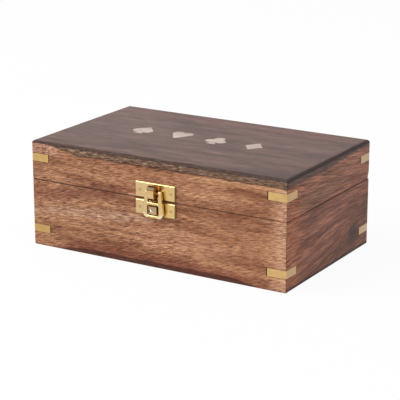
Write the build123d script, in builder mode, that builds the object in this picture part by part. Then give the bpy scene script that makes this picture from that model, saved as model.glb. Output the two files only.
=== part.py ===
from build123d import *
import math
import os

# A wooden card box with a hinged lid. Millimetres, +Z up, +X to the right along the length, the latch on -Y.
# The origin is the centre of the underside, in the plane that the box stands on.

# Outer form
box_length = 180.0
box_width = 109.4
box_height = 68.0
corner_radius = 0.9
wall_thickness = 8.0
top_board_thickness = 6.5
bottom_board_thickness = 6.5
seam_height = 42.8
seam_gap = 0.2
seam_easing = 0.35
bottom_easing = 0.5
top_edge_radius = 2.5

# Bevel along the lid's lower back edge, and the angle at which it meets the base's back edge
bevel_depth = 2.3
bevel_height = 7.0
lid_stop_angle = 104.0

# Brass corner inlays, let flush into both faces of each corner
inlay_leg = 12.5
inlay_height = 4.9
inlay_thickness = 1.0
inlay_leg_gap = 0.6
base_inlay_rise = 2.3
lid_inlay_drop = 1.8

# Suit pips let into the top board
pip_height = 16.0
pip_width = 14.0
pip_pitch = 26.6
pip_depth = 0.8
pip_row_x = -3.3
pip_row_y = 1.8

# Dividers and soft linings
dice_slot_width = 20.0
divider_thickness = 5.0
divider_top = 36.0
divider_edge_radius = 1.2
groove_depth = 2.0
groove_clearance = 0.05
pad_thickness = 1.5
pad_side_gap = 0.4
pad_edge_radius = 0.5
lining_thickness = 1.2

# Butt hinges in the back rim
hinge_end_distance = 35.0
hinge_length = 26.0
leaf_thickness = 1.0
leaf_margin = 0.8
barrel_radius = 2.0
barrel_clearance = 0.3
hinge_pin_radius = 0.8
hinge_running_clearance = 0.05
knuckle_gap = 0.2
hinge_screw_spacing = 17.0
screw_shank_radius = 0.7
screw_head_radius = 1.3
screw_length = 8.0
screw_slot_width = 0.4
screw_slot_depth = 0.3

# Latch plates and their pins
latch_x = 1.5
plate_length = 28.2
plate_thickness = 0.9
plate_corner = 0.5
plate_edge = 0.35
upper_plate_height = 9.5
upper_plate_rise = 0.6
lower_plate_height = 8.9
lower_plate_drop = 0.8
latch_pin_spacing = 21.8
latch_pin_head_radius = 0.9
latch_pin_head_height = 0.2
latch_pin_shank_radius = 0.5
latch_pin_length = 6.0

# Knuckle rolled from the upper plate, and the bail whose bar rests in it
knuckle_length = 5.0
knuckle_depth = 6.0
knuckle_height = 8.0
knuckle_rise = 0.9
knuckle_opening_height = 3.8
bail_axis_rise = 5.0
bail_standoff = 0.65
bail_bar_radius = 0.95
bail_running_clearance = 0.05
bail_side_clearance = 1.1
bail_thickness = 2.5
bail_lobe_height = 1.3
bail_arm_width = 2.0
bail_side_width = 3.5
bail_crossbar_height = 2.0
bail_foot_height = 1.9
bail_foot_width = 12.0
bail_broad_drop = 1.7
bail_top_round = 1.2
bail_side_round = 2.8
bail_opening_round = 0.8
bail_edge_radius = 0.8

# Faceted stud on the lower plate, which stands in the bail's lower opening
stud_width = 5.8
stud_height = 4.8
stud_drop = 4.7
stud_block_height = 3.3
stud_facet_height = 1.5
stud_tip_share = 0.08
stud_shank_radius = 1.1
stud_shank_length = 5.0
stud_side_clearance = 0.95
stud_end_clearance = 0.6

# Derived places
half_length = box_length / 2
half_width = box_width / 2
inner_length = box_length - 2 * wall_thickness
inner_width = box_width - 2 * wall_thickness
lid_bottom = seam_height + seam_gap
seam_middle = seam_height + seam_gap / 2
top_board_bottom = box_height - top_board_thickness
base_inlay_bottom = bottom_board_thickness + base_inlay_rise
lid_inlay_bottom = top_board_bottom - lid_inlay_drop - inlay_height
well_length = (inner_length - dice_slot_width - 2 * divider_thickness) / 2
divider_x = (dice_slot_width + divider_thickness) / 2
well_x = dice_slot_width / 2 + divider_thickness + well_length / 2

# The hinge axis lies at mid seam, so far in from the back that the base's back edge meets the bevel at the
# stop angle: inset = (depth + half gap * (sin + slope * (1 + cos))) / (1 - cos + slope * sin)
stop = math.radians(lid_stop_angle)
bevel_slope = bevel_depth / bevel_height
gap_term = seam_gap / 2 * (math.sin(stop) + bevel_slope * (1 + math.cos(stop)))
hinge_inset = (bevel_depth + gap_term) / (1 - math.cos(stop) + bevel_slope * math.sin(stop))
hinge_y = half_width - hinge_inset
hinge_x = half_length - hinge_end_distance
hinge_places = {"left": -hinge_x, "right": hinge_x}
hinge_knuckle_length = (hinge_length - 2 * knuckle_gap) / 3
barrel_cut_radius = barrel_radius + barrel_clearance
leaf_front = half_width - wall_thickness + leaf_margin
leaf_back = hinge_y - barrel_cut_radius
hinge_screw_y = (leaf_front + leaf_back) / 2
hinge_screw_places = [
    (x + side * hinge_screw_spacing / 2, hinge_screw_y) for x in hinge_places.values() for side in (-1, 1)
]

upper_plate_z = lid_bottom + upper_plate_rise + upper_plate_height / 2
lower_plate_z = seam_height - lower_plate_drop - lower_plate_height / 2
plate_front = half_width + plate_thickness
knuckle_middle = plate_front + knuckle_depth / 2
bail_axis_depth = plate_front + bail_standoff + bail_thickness / 2
bail_axis_z = lid_bottom + bail_axis_rise
stud_z = seam_height - lower_plate_drop - stud_drop
front_plane = Plane.XZ.offset(half_width)
plate_plane = Plane.XZ.offset(plate_front)

suits = ("spade", "heart", "club", "diamond")
sides = ("front", "right", "back", "left")
corners = {
    "front_left": (-1, -1),
    "front_right": (1, -1),
    "back_right": (1, 1),
    "back_left": (-1, 1),
}

os.makedirs("parts", exist_ok=True)


def write(piece, name):
    piece.part.label = name
    export_step(piece.part, f"parts/{name}.step")


# Plan of one mitred wall: its two outer corners, then the inner ones a wall thickness in.
def wall_corners(side):
    turn = sides.index(side)
    order = [(-1, -1), (1, -1), (1, 1), (-1, 1)]
    first, second = order[turn], order[(turn + 1) % 4]
    outer = [(x * half_length, y * half_width) for x, y in (first, second)]
    inner = [(x * inner_length / 2, y * inner_width / 2) for x, y in (second, first)]
    return outer + inner


# Sketch of an L along the outer faces at one corner, as thick as the inlay, with legs of one length.
def corner_strip(corner, leg):
    across, along = corners[corner]
    RectangleRounded(box_length, box_width, corner_radius)
    Rectangle(box_length - 2 * inlay_thickness, box_width - 2 * inlay_thickness, mode=Mode.SUBTRACT)
    with Locations((across * (half_length - leg / 2), along * (half_width - leg / 2))):
        Rectangle(leg, leg, mode=Mode.INTERSECT)


# Sketch of two lobes and the tangents from them to the tip; flip is -1 for a heart that points up.
def heart_shape(width, height, middle, flip):
    lobe = width / 4 * 1.06
    lobe_x = width / 2 - lobe
    lobe_y = height / 2 - lobe
    reach = math.hypot(lobe_x, height / 2 + lobe_y)
    turn = math.atan2(-height / 2 - lobe_y, -lobe_x) + math.acos(lobe / reach)
    touch = (lobe_x + lobe * math.cos(turn), lobe_y + lobe * math.sin(turn))
    shape = [(0, -height / 2), touch, (lobe_x, lobe_y), (-lobe_x, lobe_y), (-touch[0], touch[1])]
    with Locations((0, middle)):
        Polygon(*[(x, flip * y) for x, y in shape], align=None)
    with Locations(*[(side * lobe_x, middle + flip * lobe_y) for side in (-1, 1)]):
        Circle(lobe)


# Sketch of one suit pip about its own centre.
def pip_shape(suit):
    if suit == "heart":
        heart_shape(pip_width, pip_height, 0, 1)
        return
    if suit == "diamond":
        tips = [(0, pip_height / 2), (pip_width * 0.43, 0), (0, -pip_height / 2), (-pip_width * 0.43, 0)]
        Polygon(*tips, align=None)
        return
    stem = [(0.24, -0.5), (0.05, -0.12), (-0.05, -0.12), (-0.24, -0.5)]
    Polygon(*[(x * pip_width, y * pip_height) for x, y in stem], align=None)
    if suit == "spade":
        heart_shape(pip_width, pip_height * 0.82, pip_height * 0.09, -1)
        return
    leaf = pip_width * 0.25
    leaves = [(0, pip_height / 2 - leaf), (leaf * 0.98, -pip_height * 0.07), (-leaf * 0.98, -pip_height * 0.07)]
    with Locations(*leaves):
        Circle(leaf)
    Circle(leaf * 0.6)


# Countersunk screws at every hinge screw place, each head flush with the surface; direction is 1 or -1 along Z
def screw_bodies(surface, direction, mode=Mode.ADD):
    head_height = (screw_head_radius - screw_shank_radius) * 1.2
    profile = [
        (0, 0),
        (screw_head_radius, 0),
        (screw_shank_radius, direction * head_height),
        (screw_shank_radius, direction * (screw_length - screw_shank_radius)),
        (0, direction * screw_length),
    ]
    with BuildPart(mode=Mode.PRIVATE) as screw:
        with BuildSketch(Plane.XZ):
            Polygon(*profile, align=None)
        revolve(axis=Axis.Z)
    with Locations(*[(x, y, surface) for x, y in hinge_screw_places]):
        add(screw.part, mode=mode)


# Cylinder along X about the hinge axis, over a span centred at x
def hinge_cylinder(x, radius, length, mode=Mode.ADD):
    with Locations((x, hinge_y, seam_middle)):
        Cylinder(radius, length, rotation=(0, 90, 0), mode=mode)


# Base: one ring of boards with every cut in it, then sawn into four mitred walls
with BuildPart() as base_ring:
    with BuildSketch(Plane.XY.offset(bottom_board_thickness)):
        RectangleRounded(box_length, box_width, corner_radius)
        Rectangle(inner_length, inner_width, mode=Mode.SUBTRACT)
    extrude(amount=seam_height - bottom_board_thickness)
    rim = base_ring.faces().sort_by(Axis.Z)[-1]
    chamfer(rim.outer_wire().edges(), seam_easing)
    for corner in corners:
        with BuildSketch(Plane.XY.offset(base_inlay_bottom)):
            corner_strip(corner, inlay_leg + inlay_leg_gap)
        extrude(amount=inlay_height, mode=Mode.SUBTRACT)
    with BuildSketch(Plane.XY.offset(bottom_board_thickness)):
        with Locations((-divider_x, 0), (divider_x, 0)):
            Rectangle(divider_thickness + 2 * groove_clearance, inner_width + 2 * groove_depth)
    extrude(amount=divider_top + groove_clearance - bottom_board_thickness, mode=Mode.SUBTRACT)
    with BuildSketch(Plane.XY.offset(seam_height - leaf_thickness)):
        with Locations(*[(x, (leaf_front + hinge_y) / 2) for x in hinge_places.values()]):
            Rectangle(hinge_length, hinge_y - leaf_front)
    extrude(amount=leaf_thickness, mode=Mode.SUBTRACT)
    for x in hinge_places.values():
        hinge_cylinder(x, barrel_cut_radius, hinge_length, Mode.SUBTRACT)
    screw_bodies(seam_height, -1, Mode.SUBTRACT)
    with BuildSketch(front_plane):
        with Locations(*[(latch_x + side * latch_pin_spacing / 2, lower_plate_z) for side in (-1, 1)]):
            Circle(latch_pin_shank_radius)
    extrude(amount=-(latch_pin_length - plate_thickness), mode=Mode.SUBTRACT)
    with BuildSketch(front_plane):
        with Locations((latch_x, stud_z)):
            Circle(stud_shank_radius)
    extrude(amount=-(stud_shank_length - plate_thickness), mode=Mode.SUBTRACT)

for side in sides:
    with BuildPart() as base_wall:
        add(base_ring.part)
        with BuildSketch():
            Polygon(*wall_corners(side), align=None)
        extrude(amount=box_height, mode=Mode.INTERSECT)
    write(base_wall, f"base_{side}_wall")

with BuildPart() as bottom_board:
    with BuildSketch():
        RectangleRounded(box_length, box_width, corner_radius)
    extrude(amount=bottom_board_thickness)
    underside = bottom_board.faces().sort_by(Axis.Z)[0]
    chamfer(underside.outer_wire().edges(), bottom_easing)
write(bottom_board, "bottom_board")

# Lid: its ring has the bevel along the lower back edge, and is sawn into four mitred walls as well
with BuildPart() as lid_ring:
    with BuildSketch(Plane.XY.offset(lid_bottom)):
        RectangleRounded(box_length, box_width, corner_radius)
        Rectangle(inner_length, inner_width, mode=Mode.SUBTRACT)
    extrude(amount=top_board_bottom - lid_bottom)
    rim = lid_ring.faces().sort_by(Axis.Z)[0]
    chamfer(rim.outer_wire().edges(), seam_easing)
    with BuildSketch(Plane.YZ):
        bevel = [
            (half_width - bevel_depth, lid_bottom),
            (half_width, lid_bottom + bevel_height),
            (half_width + bevel_depth, lid_bottom + bevel_height),
            (half_width + bevel_depth, seam_height),
            (half_width - bevel_depth, seam_height),
        ]
        Polygon(*bevel, align=None)
    extrude(amount=half_length, both=True, mode=Mode.SUBTRACT)
    for corner in corners:
        with BuildSketch(Plane.XY.offset(lid_inlay_bottom)):
            corner_strip(corner, inlay_leg + inlay_leg_gap)
        extrude(amount=inlay_height, mode=Mode.SUBTRACT)
    with BuildSketch(Plane.XY.offset(lid_bottom)):
        with Locations(*[(x, (leaf_front + hinge_y) / 2) for x in hinge_places.values()]):
            Rectangle(hinge_length, hinge_y - leaf_front)
    extrude(amount=leaf_thickness, mode=Mode.SUBTRACT)
    for x in hinge_places.values():
        hinge_cylinder(x, barrel_cut_radius, hinge_length, Mode.SUBTRACT)
    screw_bodies(lid_bottom, 1, Mode.SUBTRACT)
    with BuildSketch(front_plane):
        with Locations(*[(latch_x + side * latch_pin_spacing / 2, upper_plate_z) for side in (-1, 1)]):
            Circle(latch_pin_shank_radius)
    extrude(amount=-(latch_pin_length - plate_thickness), mode=Mode.SUBTRACT)

for side in sides:
    with BuildPart() as lid_wall:
        add(lid_ring.part)
        with BuildSketch():
            Polygon(*wall_corners(side), align=None)
        extrude(amount=box_height, mode=Mode.INTERSECT)
    write(lid_wall, f"lid_{side}_wall")

# Top board: rounded along all four upper edges, with a pocket for each pip
with BuildPart() as top_board:
    with BuildSketch(Plane.XY.offset(top_board_bottom)):
        RectangleRounded(box_length, box_width, corner_radius)
    extrude(amount=top_board_thickness)
    for plane, width, length in ((Plane.YZ, box_width, box_length), (Plane.XZ, box_length, box_width)):
        with BuildSketch(plane) as section:
            with Locations((0, top_board_bottom + top_board_thickness / 2)):
                Rectangle(width, top_board_thickness)
            fillet(section.vertices().group_by(Axis.Y)[-1], top_edge_radius)
        extrude(amount=length / 2, both=True, mode=Mode.INTERSECT)
    for place, suit in enumerate(suits):
        pip_x = pip_row_x + (place - (len(suits) - 1) / 2) * pip_pitch
        with BuildSketch(Plane((pip_x, pip_row_y, box_height - pip_depth))):
            pip_shape(suit)
        extrude(amount=pip_depth, mode=Mode.SUBTRACT)
write(top_board, "top_board")

for place, suit in enumerate(suits):
    pip_x = pip_row_x + (place - (len(suits) - 1) / 2) * pip_pitch
    with BuildPart() as pip:
        with BuildSketch(Plane((pip_x, pip_row_y, box_height - pip_depth))):
            pip_shape(suit)
        extrude(amount=pip_depth)
    write(pip, f"{suit}_inlay")

# Brass corner inlays, flush in their recesses, a little shorter than them at both ends
for owner, bottom in (("base", base_inlay_bottom), ("lid", lid_inlay_bottom)):
    for corner in corners:
        with BuildPart() as inlay:
            with BuildSketch(Plane.XY.offset(bottom)):
                corner_strip(corner, inlay_leg)
            extrude(amount=inlay_height)
        write(inlay, f"{owner}_{corner}_inlay")

# Dividers, which stand on the bottom board in grooves of the front and back walls
for name, x in (("left", -divider_x), ("right", divider_x)):
    with BuildPart() as divider:
        with BuildSketch(Plane.XY.offset(bottom_board_thickness)):
            with Locations((x, 0)):
                Rectangle(divider_thickness, inner_width + 2 * groove_depth - 2 * groove_clearance)
        extrude(amount=divider_top - bottom_board_thickness)
        upper_edges = divider.edges().filter_by(Axis.Y).group_by(Axis.Z)[-1]
        fillet(upper_edges, divider_edge_radius)
    write(divider, f"{name}_divider")

# Soft pads on the floor of each well and of the slot, and the lining under the top board
pads = {
    "left_well_pad": (-well_x, well_length),
    "dice_slot_pad": (0, dice_slot_width),
    "right_well_pad": (well_x, well_length),
}
for name, (x, length) in pads.items():
    with BuildPart() as pad:
        with BuildSketch(Plane.XY.offset(bottom_board_thickness)):
            with Locations((x, 0)):
                Rectangle(length - 2 * pad_side_gap, inner_width - 2 * pad_side_gap)
        extrude(amount=pad_thickness)
        fillet(pad.faces().sort_by(Axis.Z)[-1].edges(), pad_edge_radius)
    write(pad, name)

with BuildPart() as lid_lining:
    with BuildSketch(Plane.XY.offset(top_board_bottom)):
        Rectangle(inner_length - 2 * pad_side_gap, inner_width - 2 * pad_side_gap)
    extrude(amount=-lining_thickness)
    fillet(lid_lining.faces().sort_by(Axis.Z)[0].edges(), pad_edge_radius)
write(lid_lining, "lid_lining")

# Butt hinges: the base leaf carries the two outer knuckles and the pin, the lid leaf the middle knuckle
middle_span = hinge_knuckle_length + 2 * knuckle_gap
outer_offset = hinge_knuckle_length + knuckle_gap
for name, x in hinge_places.items():
    with BuildPart() as base_leaf:
        with BuildSketch(Plane.XY.offset(seam_height - leaf_thickness)):
            with Locations((x, (leaf_front + hinge_y) / 2)):
                Rectangle(hinge_length, hinge_y - leaf_front)
        extrude(amount=leaf_thickness)
        hinge_cylinder(x, barrel_cut_radius, middle_span, Mode.SUBTRACT)
        hinge_cylinder(x - outer_offset, barrel_radius, hinge_knuckle_length)
        hinge_cylinder(x + outer_offset, barrel_radius, hinge_knuckle_length)
        hinge_cylinder(x, hinge_pin_radius, hinge_length, Mode.SUBTRACT)
        screw_bodies(seam_height, -1, Mode.SUBTRACT)
    write(base_leaf, f"{name}_hinge_base_leaf")

    with BuildPart() as lid_leaf:
        with BuildSketch(Plane.XY.offset(lid_bottom)):
            with Locations((x, (leaf_front + hinge_y) / 2)):
                Rectangle(hinge_length, hinge_y - leaf_front)
        extrude(amount=leaf_thickness)
        for side in (-1, 1):
            hinge_cylinder(x + side * outer_offset, barrel_cut_radius, middle_span, Mode.SUBTRACT)
        hinge_cylinder(x, barrel_radius, hinge_knuckle_length)
        hinge_cylinder(x, hinge_pin_radius + hinge_running_clearance, hinge_length, Mode.SUBTRACT)
        screw_bodies(lid_bottom, 1, Mode.SUBTRACT)
    write(lid_leaf, f"{name}_hinge_lid_leaf")

    with BuildPart() as hinge_pin:
        hinge_cylinder(x, hinge_pin_radius, hinge_length)
    write(hinge_pin, f"{name}_hinge_pin")

# Hinge screws, slotted across X
for owner, surface, direction in (("base", seam_height, -1), ("lid", lid_bottom, 1)):
    with BuildPart() as hinge_screws:
        screw_bodies(surface, direction)
        with Locations(*[(x, y, surface) for x, y in hinge_screw_places]):
            Box(3 * screw_head_radius, screw_slot_width, 2 * screw_slot_depth, mode=Mode.SUBTRACT)
    write(hinge_screws, f"{owner}_hinge_screws")


# Sketch of a latch plate with its two pin holes; z is the height of its centre
def plate_outline(z, height):
    with Locations((latch_x, z)):
        RectangleRounded(plate_length, height, plate_corner)
    with Locations(*[(latch_x + side * latch_pin_spacing / 2, z) for side in (-1, 1)]):
        Circle(latch_pin_shank_radius, mode=Mode.SUBTRACT)


# Upper plate, with the knuckle that is rolled forward from it
knuckle_z = lid_bottom + upper_plate_rise + knuckle_rise + knuckle_height / 2
knuckle_plane = Plane.YZ.offset(latch_x)
opening_z = bail_axis_z - bail_bar_radius - bail_running_clearance + knuckle_opening_height / 2
with BuildPart() as latch_upper_plate:
    with BuildSketch(front_plane):
        plate_outline(upper_plate_z, upper_plate_height)
    extrude(amount=plate_thickness)
    front_face = latch_upper_plate.faces().sort_by(Axis.Y)[0]
    chamfer(front_face.outer_wire().edges(), plate_edge)
    with BuildSketch(knuckle_plane):
        with Locations((-knuckle_middle, knuckle_z)):
            SlotOverall(knuckle_height, knuckle_depth, rotation=90)
        with Locations((-plate_front - knuckle_depth / 4, knuckle_z)):
            Rectangle(knuckle_depth / 2, knuckle_height - knuckle_depth)
    extrude(amount=knuckle_length / 2, both=True)
    with BuildSketch(knuckle_plane):
        with Locations((-bail_axis_depth, opening_z)):
            SlotOverall(knuckle_opening_height, 2 * (bail_bar_radius + bail_running_clearance), rotation=90)
    extrude(amount=knuckle_length / 2, both=True, mode=Mode.SUBTRACT)
write(latch_upper_plate, "latch_upper_plate")

with BuildPart() as latch_lower_plate:
    with BuildSketch(front_plane):
        plate_outline(lower_plate_z, lower_plate_height)
    extrude(amount=plate_thickness)
    front_face = latch_lower_plate.faces().sort_by(Axis.Y)[0]
    chamfer(front_face.outer_wire().edges(), plate_edge)
    with BuildSketch(front_plane):
        with Locations((latch_x, stud_z)):
            Circle(stud_shank_radius)
    extrude(amount=plate_thickness, mode=Mode.SUBTRACT)
write(latch_lower_plate, "latch_lower_plate")

# Stud: a rectangular block with a low pyramid on it, and a shank through the plate into the wall
with BuildPart() as latch_stud:
    with BuildSketch(plate_plane):
        with Locations((latch_x, stud_z)):
            Rectangle(stud_width, stud_height)
    extrude(amount=stud_block_height)
    for offset, share in ((stud_block_height, 1), (stud_block_height + stud_facet_height, stud_tip_share)):
        with BuildSketch(plate_plane.offset(offset)):
            with Locations((latch_x, stud_z)):
                Rectangle(share * stud_width, share * stud_height)
    loft()
    with BuildSketch(plate_plane):
        with Locations((latch_x, stud_z)):
            Circle(stud_shank_radius)
    extrude(amount=-stud_shank_length)
write(latch_stud, "latch_stud")

# Small pins, two for each plate, with their heads on the plate and their shanks in the wall
for owner, z in (("upper", upper_plate_z), ("lower", lower_plate_z)):
    pin_places = [(latch_x + side * latch_pin_spacing / 2, z) for side in (-1, 1)]
    with BuildPart() as latch_pins:
        with BuildSketch(plate_plane):
            with Locations(*pin_places):
                Circle(latch_pin_head_radius)
        extrude(amount=latch_pin_head_height)
        fillet(latch_pins.faces().sort_by(Axis.Y)[:2].edges(), latch_pin_head_height * 0.7)
        with BuildSketch(plate_plane):
            with Locations(*pin_places):
                Circle(latch_pin_shank_radius)
        extrude(amount=-latch_pin_length)
    write(latch_pins, f"latch_{owner}_pins")

# Bail: a cast ring of two arms, a crossbar and a foot, with the bar that rests in the knuckle. Its lower
# opening goes round the stud, its upper one round the knuckle.
opening_half = stud_width / 2 + stud_side_clearance
opening_top = stud_z + stud_height / 2 + stud_end_clearance - bail_axis_z
opening_foot = stud_z - stud_height / 2 - stud_end_clearance - bail_axis_z
arm_inside = knuckle_length / 2 + bail_side_clearance
arm_outside = arm_inside + bail_arm_width
side_outside = opening_half + bail_side_width
side_z = (opening_top + opening_foot) / 2 - bail_broad_drop
foot_z = opening_foot - bail_foot_height
bail_plane = Plane((latch_x, -bail_axis_depth, bail_axis_z), x_dir=(1, 0, 0), z_dir=(0, -1, 0))
with BuildPart() as latch_bail:
    with BuildSketch(bail_plane) as ring:
        right_side = [(arm_outside, bail_lobe_height), (side_outside, side_z), (bail_foot_width / 2, foot_z)]
        left_side = [(-x, y) for x, y in reversed(right_side)]
        Polygon(*right_side, *left_side, align=None)
        lower_corners = ring.vertices().sort_by(Axis.Y)[:4]
        fillet(lower_corners, bail_side_round)
        upper_corners = ring.vertices().sort_by(Axis.Y)[-2:]
        fillet(upper_corners, bail_top_round)
        with Locations((0, (opening_top + opening_foot) / 2)):
            RectangleRounded(
                2 * opening_half,
                opening_top - opening_foot,
                bail_opening_round,
                mode=Mode.SUBTRACT,
            )
        upper_bottom = opening_top + bail_crossbar_height
        with Locations((0, upper_bottom)):
            Rectangle(
                2 * arm_inside,
                2 * bail_lobe_height - upper_bottom,
                align=(Align.CENTER, Align.MIN),
                mode=Mode.SUBTRACT,
            )
    extrude(amount=bail_thickness / 2, both=True)
    outlines = latch_bail.faces().filter_by(Axis.Y)
    fillet(outlines.edges(), bail_edge_radius)
    with Locations((latch_x, -bail_axis_depth, bail_axis_z)):
        Cylinder(bail_bar_radius, 2 * arm_inside + bail_arm_width, rotation=(0, 90, 0))
write(latch_bail, "latch_bail")

print("hinge axis: y", round(hinge_y, 3), "z", round(seam_middle, 3))
print("bail axis: x", latch_x, "y", round(-bail_axis_depth, 3), "z", round(bail_axis_z, 3))
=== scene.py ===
import bmesh
import bpy
import numpy as np
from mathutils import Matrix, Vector


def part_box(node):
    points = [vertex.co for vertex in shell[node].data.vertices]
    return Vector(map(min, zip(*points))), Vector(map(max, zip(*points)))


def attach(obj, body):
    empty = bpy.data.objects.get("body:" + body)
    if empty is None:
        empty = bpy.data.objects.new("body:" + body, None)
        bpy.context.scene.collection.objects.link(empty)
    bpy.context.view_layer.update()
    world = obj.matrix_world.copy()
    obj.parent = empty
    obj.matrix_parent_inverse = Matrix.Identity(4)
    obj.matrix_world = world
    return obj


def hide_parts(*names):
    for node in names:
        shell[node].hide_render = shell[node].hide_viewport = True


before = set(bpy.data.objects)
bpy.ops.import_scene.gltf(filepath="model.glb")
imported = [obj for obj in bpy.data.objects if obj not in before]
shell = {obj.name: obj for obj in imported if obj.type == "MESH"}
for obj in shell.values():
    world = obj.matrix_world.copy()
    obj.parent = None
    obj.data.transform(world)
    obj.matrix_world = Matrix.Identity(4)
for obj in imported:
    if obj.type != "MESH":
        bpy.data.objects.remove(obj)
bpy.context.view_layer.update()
print("frame loaded:", len(shell), "nodes")


# A node's box in millimetres: its lower corner, its upper corner and its middle
def boxOf(node):
    low, high = ([float(n) * 1000 for n in corner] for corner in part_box(node))
    return low, high, [(a + b) / 2 for a, b in zip(low, high)]


halfLength, halfWidth, boxHeight = boxOf("top_board")[1]
mitreLine = halfLength - halfWidth  # |x| - |y| along the mitres
seamHeight = (boxOf("base_front_wall")[1][2] + boxOf("lid_front_wall")[0][2]) / 2


# A colour written as it looks, 0 to 255 a channel, made linear: ((c + 0.055) / 1.055) ^ 2.4
def tone(red, green, blue):
    return tuple(((c / 255 + 0.055) / 1.055) ** 2.4 for c in (red, green, blue)) + (1.0,)


# One socket of a node tree. Sums of wires and numbers add their Math nodes.
class Wire:
    def __init__(self, tree, socket):
        self.tree, self.socket = tree, socket

    def maths(self, operation, first, second=0.0):
        return self.tree.add("ShaderNodeMath", {"operation": operation}, {0: first, 1: second})

    def __add__(self, other):
        return self.maths("ADD", self, other)

    def __sub__(self, other):
        return self.maths("SUBTRACT", self, other)

    def __rsub__(self, other):
        return self.maths("SUBTRACT", other, self)

    def __mul__(self, other):
        return self.maths("MULTIPLY", self, other)

    def __truediv__(self, other):
        return self.maths("DIVIDE", self, other)

    def __pow__(self, other):
        return self.maths("POWER", self, other)

    def __abs__(self):
        return self.maths("ABSOLUTE", self)

    __radd__ = __add__
    __rmul__ = __mul__


# A node tree. add takes a node's type, its settings, which are set first, and its sockets' values or wires.
class Tree:
    def __init__(self, nodeTree):
        self.nodeTree = nodeTree

    def add(self, kind, settings=None, values=None, output=0):
        node = self.nodeTree.nodes.new(kind)
        for name, value in (settings or {}).items():
            setattr(node, name, value)
        for key, value in (values or {}).items():
            self.join(node.inputs[key], value)
        return Wire(self, node.outputs[output])

    def join(self, socket, value):
        if isinstance(value, Wire):
            self.nodeTree.links.new(value.socket, socket)
        else:
            socket.default_value = value

    # 1 for the rays that see a background: from the camera, off a gloss, or through glass
    def seen(self):
        rays = ("Is Camera Ray", "Is Glossy Ray", "Is Transmission Ray")
        camera, glossy, clear = (self.add("ShaderNodeLightPath", output=ray) for ray in rays)
        return camera + glossy + clear


# A material with its place in millimetres as three wires
class Paint(Tree):
    def __init__(self, name):
        self.material = bpy.data.materials.new(name)
        self.material.use_nodes = True
        super().__init__(self.material.node_tree)
        self.shader = self.nodeTree.nodes["Principled BSDF"]
        metres = self.add("ShaderNodeTexCoord", output="Object")
        place = self.add("ShaderNodeVectorMath", {"operation": "SCALE"}, {0: metres, "Scale": 1000.0})
        self.place = tuple(
            self.add("ShaderNodeSeparateXYZ", {}, {0: place}, output=axis) for axis in range(3)
        )
        self.x, self.y, self.z = self.place

    # Noise about 0.5. Size says how many millimetres its marks measure along each wire of a place.
    def noise(self, place, size, detail, rough, seed):
        where = {axis: wire / share for axis, (wire, share) in enumerate(zip(place, size))}
        where = self.add("ShaderNodeCombineXYZ", {}, where)
        values = {"Vector": where, "W": seed, "Scale": 1.0, "Detail": detail, "Roughness": rough}
        return self.add("ShaderNodeTexNoise", {"noise_dimensions": "4D"}, values)

    # The same of mean 0: (noise - 0.5) * amount
    def sway(self, amount, *noise):
        return (self.noise(*noise) - 0.5) * amount

    # 0 at low and 1 at high, smooth between, falling where low is the larger
    def rise(self, value, low, high):
        values = {"Value": value, "From Min": low, "From Max": high}
        return self.add("ShaderNodeMapRange", {"interpolation_type": "SMOOTHSTEP"}, values)

    def mix(self, amount, first, second):
        return self.add("ShaderNodeMix", {"data_type": "RGBA"}, {0: amount, 6: first, 7: second}, 2)

    # A wash, which is an amount and a tone, laid over a base where cover is 1
    def lay(self, base, cover, wash):
        return self.mix(cover * wash[0], base, wash[1])

    def bump(self, height, strength, depth):
        values = {"Height": height, "Strength": strength, "Distance": depth}
        self.wear(Normal=self.add("ShaderNodeBump", {}, values))

    def wear(self, **values):
        for name, value in values.items():
            self.join(self.shader.inputs[name.replace("_", " ")], value)

    def on(self, *names):
        for name in names:
            for slot in shell[name].material_slots:
                slot.material = self.material


# 1 on the short walls and 0 on the long ones, which meet in the mitres
def onShortWalls(paint):
    return paint.rise(abs(paint.x) - abs(paint.y) - mitreLine, -0.1, 0.1)


# 1 near the outside of the walls, down to a depth of full, and 0 from a depth of gone
def nearSurface(paint, full, gone, blur):
    ends = paint.rise(abs(paint.x), halfLength - gone, halfLength - full)
    fronts = paint.rise(abs(paint.y), halfWidth - gone, halfWidth - full)
    return paint.rise(ends + fronts, 0.5 - blur, 0.5 + blur)


# 1 on a board's broad face, within its borders along x and y and their soft edge. A wave bends the second.
def broadFace(paint, borders, soft, wave=0.0):
    long, wide = halfLength - borders[0], halfWidth - borders[1]
    return paint.rise(abs(paint.x), long, long - soft) * paint.rise(abs(paint.y) + wave, wide, wide - soft)


# A patch of another tone: its middle and reach along and up a face in millimetres, and its wash. It climbs
# along the grain, and soft says how far its edge fades.
def spot(middle, reach, amount, colour, climb=0.0, soft=0.6):
    return {"middle": middle, "reach": reach, "wash": (amount, colour), "climb": climb, "soft": soft}


# Spots over a base where the mask is 1. Each is an uneven oval: far is the root of the sum, both ways, of
# ((place - middle) / reach)^2. The cover falls from 1 to 0 as far + ragged goes from 1 - soft to 1 + soft.
def patches(paint, base, across, up, ragged, mask, *spots):
    for look in spots:
        (middleAcross, middleUp), (reachAcross, reachUp) = look["middle"], look["reach"]
        rising = up - across * look["climb"]
        far = (((across - middleAcross) / reachAcross) ** 2 + ((rising - middleUp) / reachUp) ** 2) ** 0.5
        cover = paint.rise(far + ragged, 1 + look["soft"], 1 - look["soft"])
        base = paint.lay(base, cover * mask, look["wash"])
    return base


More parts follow.
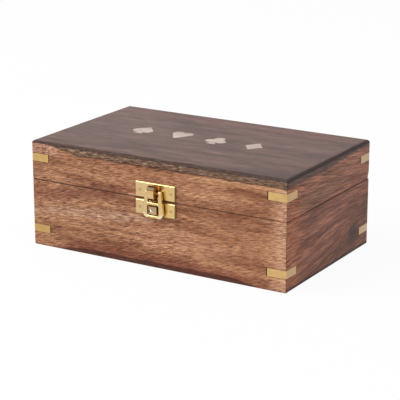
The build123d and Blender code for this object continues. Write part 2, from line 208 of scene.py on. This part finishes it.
# Sizes are in millimetres along the grain, across it and through it
woodLook = {
    "seed": 3.0,
    "dark": tone(129, 81, 55),
    "light": tone(186, 136, 100),
    "contrast": (0.34, 0.66),  # the noise where a band or mark is all dark, and where it is all light
    "wander": 7.0,
    "wanderSize": (45, 22, 30),
    "ripple": 1.0,
    "rippleSize": (4.5, 4, 9),
    "bandSize": (60, 6, 22),
    "tilt": 0.15,  # how far the fine marks climb along the grain
    "fibre": 0.42,
    "fibreSize": (9.2, 1, 1),
    "hair": 0.98,
    "hairSize": (4.6, 0.5, 0.7),
    "crack": 0.5,
    "crackSize": (6, 1.3, 1.5),
    "crackColour": tone(86, 50, 38),
    "fadeSize": (12, 6, 9),
    "tint": (0.88, 1.04, 1.12),  # how much the marks change red, green and blue
    "moreTint": (-0.1, 0.06, 0.2),  # what is added to that where spread is 1
    "rough": 0.5,
    "gloss": 0.16,
    "relief": 0.3,
}
sideLook = dict(
    woodLook,
    seed=11.0,
    dark=tone(113, 70, 54),
    light=tone(170, 112, 90),
    bandSize=(60, 7, 22),
    tilt=0.0,
    fibre=0.34,
    fibreSize=(22, 1, 1),
    hair=1.3,
    hairSize=(11, 0.5, 0.7),
    crackSize=(13, 1.3, 1.5),
    crackColour=tone(62, 38, 32),
    climb=0.14,  # towards the back the grain climbs low down and falls high up
    fall=0.2,
    climbStart=-54,
)
topLook = dict(
    woodLook,
    seed=23.0,
    dark=tone(86, 62, 55),
    light=tone(118, 88, 78),
    ripple=0.7,
    bandSize=(60, 8, 22),
    tilt=0.0,
    fibre=0.55,
    fibreSize=(30, 1, 1),
    hair=1.6,
    hairSize=(15, 0.5, 0.7),
    crack=0.3,
    crackSize=(24, 1.6, 1.5),
    crackColour=tone(48, 35, 32),
    rough=0.46,
)
raggedness = 2.4  # how uneven the spots' edges are
# This tone is also the painted shade on the rounded top edge, along the bottom of the walls and in the seam
glueStainAndShadeTone = tone(46, 31, 27)  # old glue, and the stain where it is darkest


# The figure of wood whose grain runs along one wire. line = across + wander + ripple. Bands of it mix the two
# tones; marks = (fibres + hairs) * fade, of mean 0, and cracks are thin lines where a stretched noise crosses
# half. The marks and cracks follow line - tilt * along.
def figure(paint, along, across, depth, look):
    seed, place = look["seed"], (along, across, depth)
    wander = paint.sway(look["wander"], place, look["wanderSize"], 2, 0.5, seed)
    ripple = paint.sway(look["ripple"], place, look["rippleSize"], 2, 0.55, seed + 1)
    line = across + wander + ripple
    bands = paint.noise((along, line, depth), look["bandSize"], 3, 0.6, seed + 2)
    base = paint.mix(paint.rise(bands, *look["contrast"]), look["dark"], look["light"])
    place = (along, line - along * look["tilt"], depth)
    fibres = paint.rise(paint.noise(place, look["fibreSize"], 3, 0.65, seed + 3), *look["contrast"])
    hairs = paint.rise(paint.noise(place, look["hairSize"], 2, 0.6, seed + 4), *look["contrast"])
    crossing = paint.noise(place, look["crackSize"], 2, 0.55, seed + 5)
    cracks = paint.rise(abs(crossing - 0.5), 0.045, 0.005) * paint.rise(hairs, 0.9, 0.3)
    fade = paint.noise((along, line, depth), look["fadeSize"], 2, 0.5, seed + 6) * 1.2 + 0.4
    return base, ((fibres - 0.5) * look["fibre"] + (hairs - 0.5) * look["hair"]) * fade, cracks


# A colour with its marks and cracks, and their height. Dark marks are redder than pale ones, the more so the
# larger spread is: each channel is multiplied by 1 + its own weight * marks.
def grain(paint, colour, marks, cracks, look, spread=0.0):
    weights = [plain + spread * more for plain, more in zip(look["tint"], look["moreTint"])]
    tint = {axis: marks * weight + 1 for axis, weight in enumerate(weights)}
    tint = paint.add("ShaderNodeCombineXYZ", {}, tint)
    colour = paint.add("ShaderNodeVectorMath", {"operation": "MULTIPLY"}, {0: colour, 1: tint})
    return paint.mix(cracks * look["crack"], colour, look["crackColour"]), marks - cracks * 0.5


longTones = {
    "plum": spot((-56, 50), (40, 4.5), 0.6, tone(122, 70, 56), climb=0.2, soft=0.35),
    "blond": spot((-46, 30.5), (44, 3.6), 0.52, tone(204, 166, 138), climb=0.08, soft=0.35),
    "veinHeight": 18.4,
    "vein": (0.5, tone(96, 54, 46)),
    "leftShade": (0.3, tone(126, 84, 62)),
    "lowGlow": spot((15, 18), (32, 8), 0.4, tone(204, 152, 118)),
    "highGlow": spot((38, 51), (28, 5), 0.4, tone(204, 152, 118)),
    "rightRose": spot((62, 24), (22, 26), 0.4, tone(142, 90, 66)),
    "lidRose": spot((-4, 54), (30, 9), 0.4, tone(142, 90, 66)),
    "paleEnd": (0.6, tone(212, 164, 134)),
    "dash": (0.5, tone(112, 66, 52)),
    "dashSize": (4, 0.9, 3),
    "corner": (0.55, tone(208, 164, 136)),
    "fleck": (0.7, tone(112, 56, 52)),
    "fleckSize": (2.2, 1.4, 3),
    "raggedSize": (9, 2.2, 8),
}


# The long walls' wood: x runs along it, z up it. Only the front has the spots, the thin dark vein and the
# shaded left half. Both have a pale right end, dashes at both ends and a pale flecked upper left corner.
def longFace(paint):
    x, y, z = paint.place
    base, marks, cracks = figure(paint, x, z, y, woodLook)
    ragged = paint.sway(raggedness, (x, z, y), longTones["raggedSize"], 3, 0.65, 8.0)
    front = paint.rise(y, 10, -10)
    base = patches(paint, base, x, z, ragged, front, longTones["plum"], longTones["blond"])
    fromVein = abs(z + x * 0.02 - longTones["veinHeight"] + ragged * 0.7)
    vein = paint.rise(fromVein, 0.9, 0.2) * paint.rise(x, -70, -30)
    base = paint.lay(base, vein * front, longTones["vein"])
    base = paint.lay(base, paint.rise(x, 20, -60) * front, longTones["leftShade"])
    glows = (longTones[name] for name in ("lowGlow", "highGlow", "rightRose", "lidRose"))
    base = patches(paint, base, x, z, ragged, front, *glows)
    base = paint.lay(base, paint.rise(x + ragged * 2, 75, 90), longTones["paleEnd"])
    dash = paint.rise(paint.noise((x, z, y), longTones["dashSize"], 2, 0.6, 10.0), 0.56, 0.66)
    base = paint.lay(base, dash * paint.rise(abs(x), 76, 88), longTones["dash"])
    corner = paint.rise(x + ragged * 5, -66, -78) * paint.rise(z + ragged, 58, 61)
    base = paint.lay(base, corner, longTones["corner"])
    crossing = paint.noise((x, z, y), longTones["fleckSize"], 2, 0.55, 9.0)
    fleck = paint.rise(abs(crossing - 0.5), 0.06, 0.01)
    return paint.lay(base, corner * fleck, longTones["fleck"]), marks, cracks


sideTones = {
    "olive": spot((-6, 52), (34, 7), 0.35, tone(136, 106, 78), climb=0.1),
    "warm": (0.6, tone(174, 106, 70)),
    "shade": spot((38, 16), (20, 15), 0.35, tone(84, 56, 46), soft=0.8),
    "knot": spot((34, 13), (8, 5.5), 0.8, tone(58, 45, 38), soft=0.5),
    "aboveKnot": spot((50, 27), (6, 9), 0.4, tone(58, 45, 38)),
    "low": spot((22, 7), (24, 4), 0.6, tone(96, 62, 48)),
    "raggedSize": (7, 4, 9),
}


# The short walls' wood: y runs along it, z up it. It is warmer towards the front. Only the right wall has a
# knot, low at the back.
def sideFace(paint):
    x, y, z = paint.place
    climb = paint.rise(z, 66, 4) * (sideLook["climb"] + sideLook["fall"]) - sideLook["fall"]
    base, marks, cracks = figure(paint, y, z - (y - sideLook["climbStart"]) * climb, x, sideLook)
    ragged = paint.sway(raggedness, (y, z, x), sideTones["raggedSize"], 3, 0.65, 18.0)
    base = patches(paint, base, y, z, ragged, 1, sideTones["olive"])
    base = paint.lay(base, paint.rise(y + ragged * 6, -28, -50), sideTones["warm"])
    base = patches(paint, base, y, z, ragged, 1, sideTones["shade"])
    right = paint.rise(x, -10, 10)
    base = patches(paint, base, y, z, ragged, right, sideTones["knot"], sideTones["aboveKnot"])
    return patches(paint, base, y, z, ragged, 1, sideTones["low"]), marks, cracks


stainAndLipShadeLook = {
    "depth": 5.4,  # how far the top board's dark stain runs down the walls
    "leftRise": 4.4,  # how much less that is towards the left of the long walls
    "backRise": 2.2,  # and towards the back of the short ones
    "ragged": 1.4,
    "cover": 0.94,
    "dark": tone(74, 52, 43),
    "light": tone(140, 112, 90),
    "speck": (0.55, tone(186, 164, 132)),
    "speckSize": (4.5, 4.5, 0.8),
    "sideDark": tone(66, 46, 38),
    "sideLight": tone(104, 82, 70),
    "sideCover": 0.85,
    "rim": (0.65, glueStainAndShadeTone),
    # the lip is darkened by the stain and by painted shade
    "lipDepth": 2.2,  # the rounded upper edge is darkest from this far below the top
    "lipSoft": 0.7,
}


# The top board's dark stain on the walls: specked, dark-rimmed along its uneven border, and darkest on the
# rounded lip, where painted shade is added to the stain
def topStainAndLipShade(paint, colour, side, skin, ragged):
    x, y, z = paint.place
    left = paint.rise(x, -50, -84) * stainAndLipShadeLook["leftRise"]
    back = paint.rise(y, -20, 50) * stainAndLipShadeLook["backRise"]
    border = boxHeight - stainAndLipShadeLook["depth"] + ragged * stainAndLipShadeLook["ragged"] + left * (1 - side) + back * side
    speck = paint.noise(paint.place, stainAndLipShadeLook["speckSize"], 3, 0.65, 29.0)
    stained = paint.mix(paint.rise(speck, 0.38, 0.62), stainAndLipShadeLook["dark"], stainAndLipShadeLook["light"])
    pale = paint.rise(speck, 0.54, 0.68) * paint.rise(x, 50, -40)
    stained = paint.lay(stained, pale, stainAndLipShadeLook["speck"])
    sideStain = paint.mix(speck, stainAndLipShadeLook["sideDark"], stainAndLipShadeLook["sideLight"])
    stained = paint.mix(side * stainAndLipShadeLook["sideCover"], stained, sideStain)
    stain = paint.rise(z - border, -0.4, 0.5) * skin
    colour = paint.mix(stain * stainAndLipShadeLook["cover"], colour, stained)
    rim = paint.rise(abs(z - border), 0.8, 0.2) * (1 - side) * skin
    colour = paint.lay(colour, rim, stainAndLipShadeLook["rim"])
    # painted shade on the rounded upper edge, laid over the stain
    lipStart = boxHeight - stainAndLipShadeLook["lipDepth"]
    lipHeight = z + ragged * 0.7 * (1 - side) + side * 0.2
    lipStainAndShade = paint.rise(lipHeight, lipStart, lipStart + stainAndLipShadeLook["lipSoft"]) * skin
    return paint.mix(lipStainAndShade * (side * 0.15 + 0.8), colour, glueStainAndShadeTone)


bottomShadeLook = {
    "height": 3.4,  # in the middle of the long walls
    "sideHeight": 2.2,
    "ragged": 0.7,
    "colour": tone(66, 34, 28),
    "cover": 0.85,
    "flush": (0.55, tone(124, 68, 54)),
    "flushRise": 2.2,  # how many times as high as the foot the flush reaches
}


# Painted shade along the bottom edge, darkest by the ground, with a reddish flush above it on the long walls
def bottomShade(paint, colour, side, skin, ragged):
    x, z = paint.x, paint.z
    middle = paint.rise(x, 78, 50) * paint.rise(x, -78, -50)
    shadeHeight = middle * bottomShadeLook["height"] * (1 - side) + ragged * bottomShadeLook["ragged"]
    flush = paint.rise(z - shadeHeight * bottomShadeLook["flushRise"], 1.5, -0.5) * (1 - side) * skin
    colour = paint.lay(colour, flush, bottomShadeLook["flush"])
    # painted shade along the bottom edge
    dark = paint.rise(z - shadeHeight - side * bottomShadeLook["sideHeight"], 0.5, -0.4) * skin
    return paint.mix(dark * bottomShadeLook["cover"], colour, paint.mix(side, bottomShadeLook["colour"], glueStainAndShadeTone))


# How much the glue and the painted shade in the seam show, and how far round the inlays the glue reaches
# above, below and past them
glueAndSeamShadeLook = {"inlay": 0.6, "above": 0.4, "past": 0.8, "seam": 0.25, "leftSeamShade": 0.3, "mitre": 0.45}


# Dark glue round the inlays and in the mitres, and painted shade in the seam between lid and base, darker
# towards the left
def glueAndSeamShade(paint, colour, side, skin):
    x, y, z = paint.place
    baseInlay, lidInlay = boxOf("base_front_left_inlay"), boxOf("lid_front_left_inlay")
    middle, apart = (lidInlay[2][2] + baseInlay[2][2]) / 2, (lidInlay[2][2] - baseInlay[2][2]) / 2
    edge = (baseInlay[1][2] - baseInlay[0][2]) / 2 + glueAndSeamShadeLook["above"]
    endX, endY = (abs(end) - glueAndSeamShadeLook["past"] for end in baseInlay[1][:2])
    level = paint.rise(abs(abs(z - middle) - apart), edge, edge - 0.2)
    ends = paint.rise(abs(x), endX, endX + 0.2) * (1 - side) + paint.rise(abs(y), endY, endY + 0.2) * side
    # painted shade in the seam between lid and base
    seam = paint.rise(abs(z - seamHeight), 0.55, 0.4) * nearSurface(paint, 0.2, 1, 0.1)
    seamCover = paint.rise(x, 60, -20) * glueAndSeamShadeLook["leftSeamShade"] + glueAndSeamShadeLook["seam"]
    mitre = paint.rise(abs(abs(x) - abs(y) - mitreLine), 0.4, 0.15) * skin
    lines = level * ends * glueAndSeamShadeLook["inlay"] + seam * seamCover + mitre * glueAndSeamShadeLook["mitre"]
    return paint.mix(lines, colour, glueStainAndShadeTone)


wallLook = {"ragged": 2, "raggedSize": (7, 7, 1.6), "rightFade": 0.3}


# The outside of the box below its top face. Each point takes the wood of the nearer wall, so the corners are
# mitred, and the marks are fainter towards the right of the long walls.
def outerFace(paint):
    longBase, longMarks, longCracks = longFace(paint)
    sideBase, sideMarks, sideCracks = sideFace(paint)
    side, skin = onShortWalls(paint), nearSurface(paint, 2, 4, 0.3)
    ragged = paint.sway(wallLook["ragged"], paint.place, wallLook["raggedSize"], 3, 0.65, 27.0)
    colour = topStainAndLipShade(paint, paint.mix(side, longBase, sideBase), side, skin, ragged)
    colour = bottomShade(paint, colour, side, skin, ragged)
    colour = glueAndSeamShade(paint, colour, side, skin)
    calm = 1 - paint.rise(paint.x, 0, 50) * wallLook["rightFade"]
    marks = longMarks * (1 - side) * calm + sideMarks * side
    return grain(paint, colour, marks, longCracks * (1 - side) + sideCracks * side, woodLook, side)


topTones = {
    "rosy": spot((30, 44), (90, 9), 0.35, tone(122, 78, 68), soft=0.7),
    # painted sheen to the left and painted shade at the near corner
    "leftSheen": spot((-60, 0), (44, 40), 0.4, tone(110, 89, 82)),
    "nearShade": (0.8, tone(78, 54, 48)),
    "raggedSize": (24, 6, 9),
}


# The dark top: grain along x, reddish towards the back, with a painted sheen, greyer and lighter to the left,
# and painted shade towards the near corner
def topFace(paint):
    x, y, z = paint.place
    base, marks, cracks = figure(paint, x, y, z, topLook)
    ragged = paint.sway(raggedness, paint.place, topTones["raggedSize"], 3, 0.6, 36.0)
    base = patches(paint, base, x, y, ragged, 1, topTones["rosy"], topTones["leftSheen"])
    nearShade = paint.rise(x * 0.6 - y + ragged * 14, 60, 96)
    return grain(paint, paint.lay(base, nearShade, topTones["nearShade"]), marks, cracks, topLook, 1.0)


def oil(paint, colour, relief, look):
    paint.wear(Base_Color=colour, Roughness=relief * 0.15 + look["rough"], Specular_IOR_Level=look["gloss"])
    paint.bump(relief, look["relief"], 0.0002)


# A board: broad, a colour and its relief, where face is 1, and the walls' look on its edges, where face is 0
def board(paint, face, broad, look):
    edge = outerFace(paint)
    oil(paint, paint.mix(face, edge[0], broad[0]), edge[1] * (1 - face) + broad[1] * face, look)


# A small piece's wood, from the wires along its grain, across it and through it
def plainWood(paint, along, across, depth, look):
    oil(paint, *grain(paint, *figure(paint, along, across, depth, look), look), look)


wallWood = Paint("wall wood")
oil(wallWood, *outerFace(wallWood), woodLook)
sides = ("front", "right", "back", "left")
wallWood.on(*(f"{part}_{side}_wall" for part in ("base", "lid") for side in sides))

topWood = Paint("top wood")
wave = topWood.sway(0.8, topWood.place, (6, 6, 6), 3, 0.6, 39.0)
board(topWood, broadFace(topWood, (1.1, 1.0), 0.8, wave), topFace(topWood), topLook)
topWood.on("top_board")

bottomLook = dict(
    woodLook,
    seed=41.0,
    dark=tone(118, 80, 60),
    light=tone(164, 120, 93),
    tilt=0.0,
    fibreSize=(20, 1, 1),
    hairSize=(10, 0.5, 0.7),
)
bottomWood = Paint("bottom wood")
broad = grain(bottomWood, *figure(bottomWood, *bottomWood.place, bottomLook), bottomLook)
board(bottomWood, broadFace(bottomWood, (0.3, 0.3), 0.5), broad, bottomLook)
bottomWood.on("bottom_board")

dividerLook = dict(woodLook, seed=51.0, dark=tone(138, 96, 72), light=tone(170, 124, 96), crack=0.4)
dividerWood = Paint("divider wood")
plainWood(dividerWood, dividerWood.y, dividerWood.z, dividerWood.x, dividerLook)
dividerWood.on("left_divider", "right_divider")

pipLook = dict(woodLook, seed=61.0, dark=tone(184, 164, 152), light=tone(208, 192, 180))
pipLook.update(fibre=0.2, hair=0.3, crack=0.2)
pipWood = Paint("pale inlay wood")
plainWood(pipWood, *pipWood.place, pipLook)
pipWood.on("spade_inlay", "heart_inlay", "club_inlay", "diamond_inlay")
print("woods done")

inlayLook = {
    "seed": 5.0,
    "colour": tone(214, 178, 118),
    "dull": tone(180, 146, 102),
    "rubSize": (3, 3, 0.25),
    "cloudSize": (5, 5, 5),
    "tarnish": 0.6,
    "rough": 0.42,
    "uneven": 0.2,  # how much the rubbing and the clouds change the roughness
    "relief": 0.25,
    # painted reflections, laid over the brass on the short walls, at the back and towards the left
    "side": (0.75, tone(186, 154, 116)),
    "back": (0.5, tone(182, 160, 134)),
    "left": (0.5, tone(200, 164, 100)),
    "lowLeft": (0.5, tone(182, 146, 92)),
}


# Brass: fine rubbing marks along the level ways, faint tarnish in clouds
def brass(name, look):
    paint = Paint(name)
    rub = paint.noise(paint.place, look["rubSize"], 2, 0.5, look["seed"])
    cloud = paint.noise(paint.place, look["cloudSize"], 3, 0.6, look["seed"] + 1)
    colour = paint.mix(paint.rise(cloud, 0.40, 0.72) * look["tarnish"], look["colour"], look["dull"])
    roughness = (rub - 0.5) * look["uneven"] + (cloud - 0.5) * look["uneven"] + look["rough"]
    paint.wear(Metallic=1.0, Roughness=roughness)
    paint.bump(rub, look["relief"], 0.00005)
    return paint, colour


# The inlays' colour carries painted reflections: duller on the short walls, most so at the back, and towards
# the left, most so low down
inlayBrass, colour = brass("inlay brass", inlayLook)
onSide, left = onShortWalls(inlayBrass), inlayBrass.rise(inlayBrass.x, 20, -20)
for cover, wash in (
    (onSide, "side"),
    (onSide * inlayBrass.rise(inlayBrass.y, 0, 40), "back"),
    (left, "left"),
    (left * inlayBrass.rise(inlayBrass.z, 40, 30), "lowLeft"),
):
    colour = inlayBrass.lay(colour, cover, inlayLook[wash])
inlayBrass.wear(Base_Color=colour)
corners = ("front_left", "front_right", "back_right", "back_left")
inlayBrass.on(*(f"{part}_{corner}_inlay" for part in ("base", "lid") for corner in corners))

latchLook = dict(
    inlayLook,
    seed=9.0,
    colour=tone(217, 187, 136),
    tarnish=0.35,
    rough=0.26,
    relief=0.12,
    golden=(0.5, tone(226, 193, 120)),
    # painted light: a dark reflection on the knuckle's top, orange-brown reflections at its ends, highlights
    # on the bail and shadow at the plates' right ends
    crown=(0.9, tone(44, 31, 27)),
    knuckleEnd=(0.7, tone(160, 100, 40)),
    rubbed=(0.6, tone(250, 236, 200)),
    plateEnd=(0.8, tone(92, 66, 40)),
    knuckleHalf=2.5,
    armPlane=-56.2,  # the plates lie behind this y, the knuckle's roll and the bail in front of it
)

# The latch is more golden towards its right, with painted light: a dark reflection on top of its knuckle,
# orange-brown reflections at the knuckle's ends, highlights on the bail's upper ends and lower corners, and
# shadow at the plates' right ends
latchBrass, colour = brass("latch brass", latchLook)
plateHigh, plateMiddle = boxOf("latch_lower_plate")[1:]
bailLow, bailHigh = boxOf("latch_bail")[:2]
x, y, z = latchBrass.place
aside, half, armPlane = abs(x - plateMiddle[0]), latchLook["knuckleHalf"], latchLook["armPlane"]
knuckle = latchBrass.rise(y, armPlane, armPlane - 0.8) * latchBrass.rise(aside, half + 0.2, half + 0.05)
bail = latchBrass.rise(y, armPlane + 0.3, armPlane + 0.1) * latchBrass.rise(aside, half + 0.5, half + 0.9)
upperEnds = latchBrass.rise(z, bailHigh[2] - 1.3, bailHigh[2] - 0.3)
lowerCorners = latchBrass.rise(z - aside * 0.4, bailLow[2] + 1.2, bailLow[2] - 0.2)
for cover, wash in (
    (latchBrass.rise(x, -10, 14), "golden"),
    (knuckle * latchBrass.rise(z, bailHigh[2] + 0.6, bailHigh[2] + 1.3), "crown"),
    (knuckle * latchBrass.rise(aside, half - 0.1, half - 0.01), "knuckleEnd"),
    (bail * (upperEnds + lowerCorners), "rubbed"),
    (latchBrass.rise(x, plateHigh[0] - 0.7, plateHigh[0] - 0.4), "plateEnd"),
):
    colour = latchBrass.lay(colour, cover, latchLook[wash])
latchBrass.wear(Base_Color=colour)
latchBrass.on("latch_upper_plate", "latch_lower_plate", "latch_bail")

# The pins' heads are a little darker and browner towards their rims: off is the distance from a head's middle
pinLook = dict(latchLook, seed=19.0, tarnish=0.6, rough=0.4, rim=(0.7, tone(140, 104, 60)), apart=10.9)
pinBrass, colour = brass("pin brass", pinLook)
upperHeight, lowerHeight = (boxOf(f"latch_{part}_pins")[2][2] for part in ("upper", "lower"))
beside = abs(pinBrass.x - plateMiddle[0]) - pinLook["apart"]
above = abs(pinBrass.z - (upperHeight + lowerHeight) / 2) - (upperHeight - lowerHeight) / 2
off = (beside**2 + above**2) ** 0.5
pinBrass.wear(Base_Color=pinBrass.lay(colour, pinBrass.rise(off, 0.3, 0.8), pinLook["rim"]))
pinBrass.on("latch_upper_pins", "latch_lower_pins")

studLook = dict(
    latchLook,
    seed=17.0,
    rough=0.22,
    # painted reflections on the facets, and a painted glint
    facet=(0.7, tone(168, 144, 112)),
    leftFacet=(0.85, tone(108, 92, 78)),
    topFacet=(0.9, tone(64, 50, 42)),
    glint=(0.8, tone(250, 244, 232)),
    squeeze=0.83,  # the height of the stud's front over its width
    tipLength=1.7,
)

# The stud's four facets, each painted in the tone of its own reflection, darkest on top, with a painted glint
# along one of their edges
studBrass, colour = brass("stud brass", studLook)
studLow, studMiddle = boxOf("latch_stud")[::2]
tipStart = studLow[1] + studLook["tipLength"]
tip = studBrass.rise(studBrass.y, tipStart, tipStart - 0.2)
across, up = (studBrass.x - studMiddle[0]) * studLook["squeeze"], studBrass.z - studMiddle[2]
for cover, wash in (
    (tip, "facet"),
    (tip * studBrass.rise(across + abs(up), 0.05, -0.05), "leftFacet"),
    (tip * studBrass.rise(up - abs(across), -0.05, 0.05), "topFacet"),
    (tip * studBrass.rise(abs(across + up) + abs(up) * 0.4, 0.7, 0.2), "glint"),
):
    colour = studBrass.lay(colour, cover, studLook[wash])
studBrass.wear(Base_Color=colour)
studBrass.on("latch_stud")

hingeBrass, colour = brass("hinge brass", dict(latchLook, seed=13.0, tarnish=0.6, rough=0.36))
hingeBrass.wear(Base_Color=colour)
hingeParts = ("base_leaf", "lid_leaf", "pin")
hingeBrass.on(*(f"{side}_hinge_{part}" for side in ("left", "right") for part in hingeParts))
hingeBrass.on("base_hinge_screws", "lid_hinge_screws")
print("brass done")

feltLook = {
    "dark": tone(84, 20, 28),
    "light": tone(116, 34, 42),
    "napSize": (0.7, 0.7, 0.7),
    "crushSize": (14, 14, 14),
    "relief": 0.6,
}
felt = Paint("lining felt")
nap = felt.noise(felt.place, feltLook["napSize"], 4, 0.7, 2.0)
crush = felt.noise(felt.place, feltLook["crushSize"], 3, 0.6, 4.0)
colour = felt.mix(nap * 0.6 + crush * 0.4, feltLook["dark"], feltLook["light"])
felt.wear(Base_Color=colour, Roughness=0.95, Specular_IOR_Level=0.2, Sheen_Weight=0.25, Sheen_Roughness=0.5)
felt.bump(nap, feltLook["relief"], 0.0003)


# A closed mesh of a grid of points whose columns run round in a ring. Its first and last rows are points.
def ringMesh(name, points):
    rows, columns = points.shape[:2]
    index = np.arange(rows * columns).reshape(rows, columns)
    index = np.concatenate([index, index[:, :1]], axis=1)
    faces = np.stack([index[:-1, :-1], index[:-1, 1:], index[1:, 1:], index[1:, :-1]], axis=-1)
    mesh = bpy.data.meshes.new(name)
    mesh.from_pydata(points.reshape(-1, 3).tolist(), [], faces.reshape(-1, 4).tolist())
    work = bmesh.new()
    work.from_mesh(mesh)
    bmesh.ops.remove_doubles(work, verts=work.verts, dist=1e-6)
    bmesh.ops.dissolve_degenerate(work, edges=work.edges, dist=1e-7)
    bmesh.ops.recalc_face_normals(work, faces=work.faces)
    work.to_mesh(mesh)
    work.free()
    mesh.polygons.foreach_set("use_smooth", np.ones(len(mesh.polygons), dtype=bool))
    piece = bpy.data.objects.new(name, mesh)
    bpy.context.scene.collection.objects.link(piece)
    return piece


# A thin pad in a node's box: flat on one side, rounded at its rim, crowned on the other. A ring is the
# outline, (|cos a|^(2/n), |sin a|^(2/n)) with n the squareness, times the half length and half width less the
# rim's inset, times its share s. The crowned side is at thick * (1 - crown * s^2), and the rim's inset and
# height follow a half circle.
def feltPad(name, node, look):
    low, high = (np.array(corner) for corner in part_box(node))
    half, middle = (high - low)[:2] / 2, (high + low)[:2] / 2
    thick, rim, crown = high[2] - low[2], look["rim"], look["crown"]
    angle = np.linspace(0, 2 * np.pi, look["around"], endpoint=False) + np.pi / look["around"]
    outline = np.stack([np.cos(angle), np.sin(angle)], axis=-1)
    outline = np.sign(outline) * np.abs(outline) ** (2 / look["squareness"])
    share = np.linspace(0, 1, look["rings"]) ** 0.7
    swing = np.linspace(-np.pi / 2, np.pi / 2, look["rimRings"])
    shares = np.concatenate([share, np.ones(swing.size), share[::-1]])
    flat = np.full(share.size, rim)
    inset = np.concatenate([flat, rim * (1 - np.cos(swing)), flat])
    rimHeight = thick * (1 - crown) / 2 * (1 + np.sin(swing))
    height = np.concatenate([np.zeros(share.size), rimHeight, thick * (1 - crown * share[::-1] ** 2)])
    size = (half[None, :] - inset[:, None]) * shares[:, None]
    points = np.empty((size.shape[0], angle.size, 3))
    points[:, :, :2] = middle + size[:, None, :] * outline[None, :, :]
    points[:, :, 2] = high[2] - height[:, None] if look["hangs"] else low[2] + height[:, None]
    piece = ringMesh(name, points)
    piece.data.materials.append(felt.material)
    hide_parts(node)
    return piece


padLook = {
    "around": 96,
    "squareness": 26,
    "rings": 14,
    "rimRings": 9,
    "rim": 0.0006,
    "crown": 0.12,
    "hangs": False,
}
for name, node in (
    ("left_well_felt", "left_well_pad"),
    ("dice_slot_felt", "dice_slot_pad"),
    ("right_well_felt", "right_well_pad"),
):
    pad = feltPad(name, node, padLook)
    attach(pad, "base")

lining = feltPad("lid_felt", "lid_lining", dict(padLook, crown=0.02, rim=0.0004, hangs=True))
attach(lining, "lid")
print("felt done")

studioLook = {
    "reach": 3.0,
    "rings": 3,
    "around": 64,
    "white": 0.95,
    "glow": 0.94,  # how much of what the camera sees is plain white; the rest keeps the shadow
    "world": 0.55,
    "aim": (0, 0, 0.03),
    "key lamp": {"place": (-0.9, -1.6, 1.3), "size": 1.4, "power": 19.0},
    "top lamp": {"place": (-0.85, -0.48, 1.45), "size": 0.95, "power": 10.0},
}

# The floor is a disc: points at radius * (cos a, sin a, 0). It shows nearly white and keeps a faint shadow.
angle = np.linspace(0, 2 * np.pi, studioLook["around"], endpoint=False)
radius = np.linspace(0, studioLook["reach"], studioLook["rings"])[:, None]
disc = np.stack([radius * np.cos(angle), radius * np.sin(angle), 0 * radius * angle], axis=-1)
floor = ringMesh("studio_floor", disc)
if floor.data.polygons[0].normal.z < 0:
    floor.data.flip_normals()
floorPaint = Paint("studio floor")
floorPaint.wear(Base_Color=(studioLook["white"],) * 3 + (1.0,), Roughness=0.9, Specular_IOR_Level=0.0)
glow = floorPaint.add("ShaderNodeEmission", {}, {"Color": (1, 1, 1, 1), "Strength": 1.0})
matt = Wire(floorPaint, floorPaint.shader.outputs[0])
cover = floorPaint.seen() * studioLook["glow"]
both = floorPaint.add("ShaderNodeMixShader", {}, {0: cover, 1: matt, 2: glow})
floorPaint.join(floorPaint.nodeTree.nodes["Material Output"].inputs["Surface"], both)
floor.data.materials.append(floorPaint.material)

world = bpy.data.worlds.new("studio")
bpy.context.scene.world = world
world.use_nodes = True
air = Tree(world.node_tree)
background = world.node_tree.nodes["Background"]
air.join(background.inputs["Color"], (1, 1, 1, 1))
air.join(background.inputs["Strength"], air.seen() * (1 - studioLook["world"]) + studioLook["world"])


# Stands a lamp or the camera at a place, turned to look at an aim
def stand(name, data, place, aim):
    holder = bpy.data.objects.new(name, data)
    holder.location = place
    holder.rotation_euler = (Vector(aim) - Vector(place)).to_track_quat("-Z", "Y").to_euler()
    bpy.context.scene.collection.objects.link(holder)
    return holder


for name in ("key lamp", "top lamp"):
    light, look = bpy.data.lights.new(name, "AREA"), studioLook[name]
    light.shape, light.size, light.energy = "SQUARE", look["size"], look["power"]
    stand(name, light, look["place"], studioLook["aim"])

eye = {"place": (0.4825, -0.8037, 0.3099), "aim": (-0.00072, 0.0, 0.02852), "lens": 140.05, "sensor": 36.0}
camera = bpy.data.cameras.new("camera")
camera.lens, camera.sensor_width = eye["lens"], eye["sensor"]
camera.clip_start, camera.clip_end = 0.02, 20.0
bpy.context.scene.camera = stand("camera", camera, eye["place"], eye["aim"])
bpy.context.scene.view_settings.view_transform = "Standard"
print("floor, lamps and camera done")
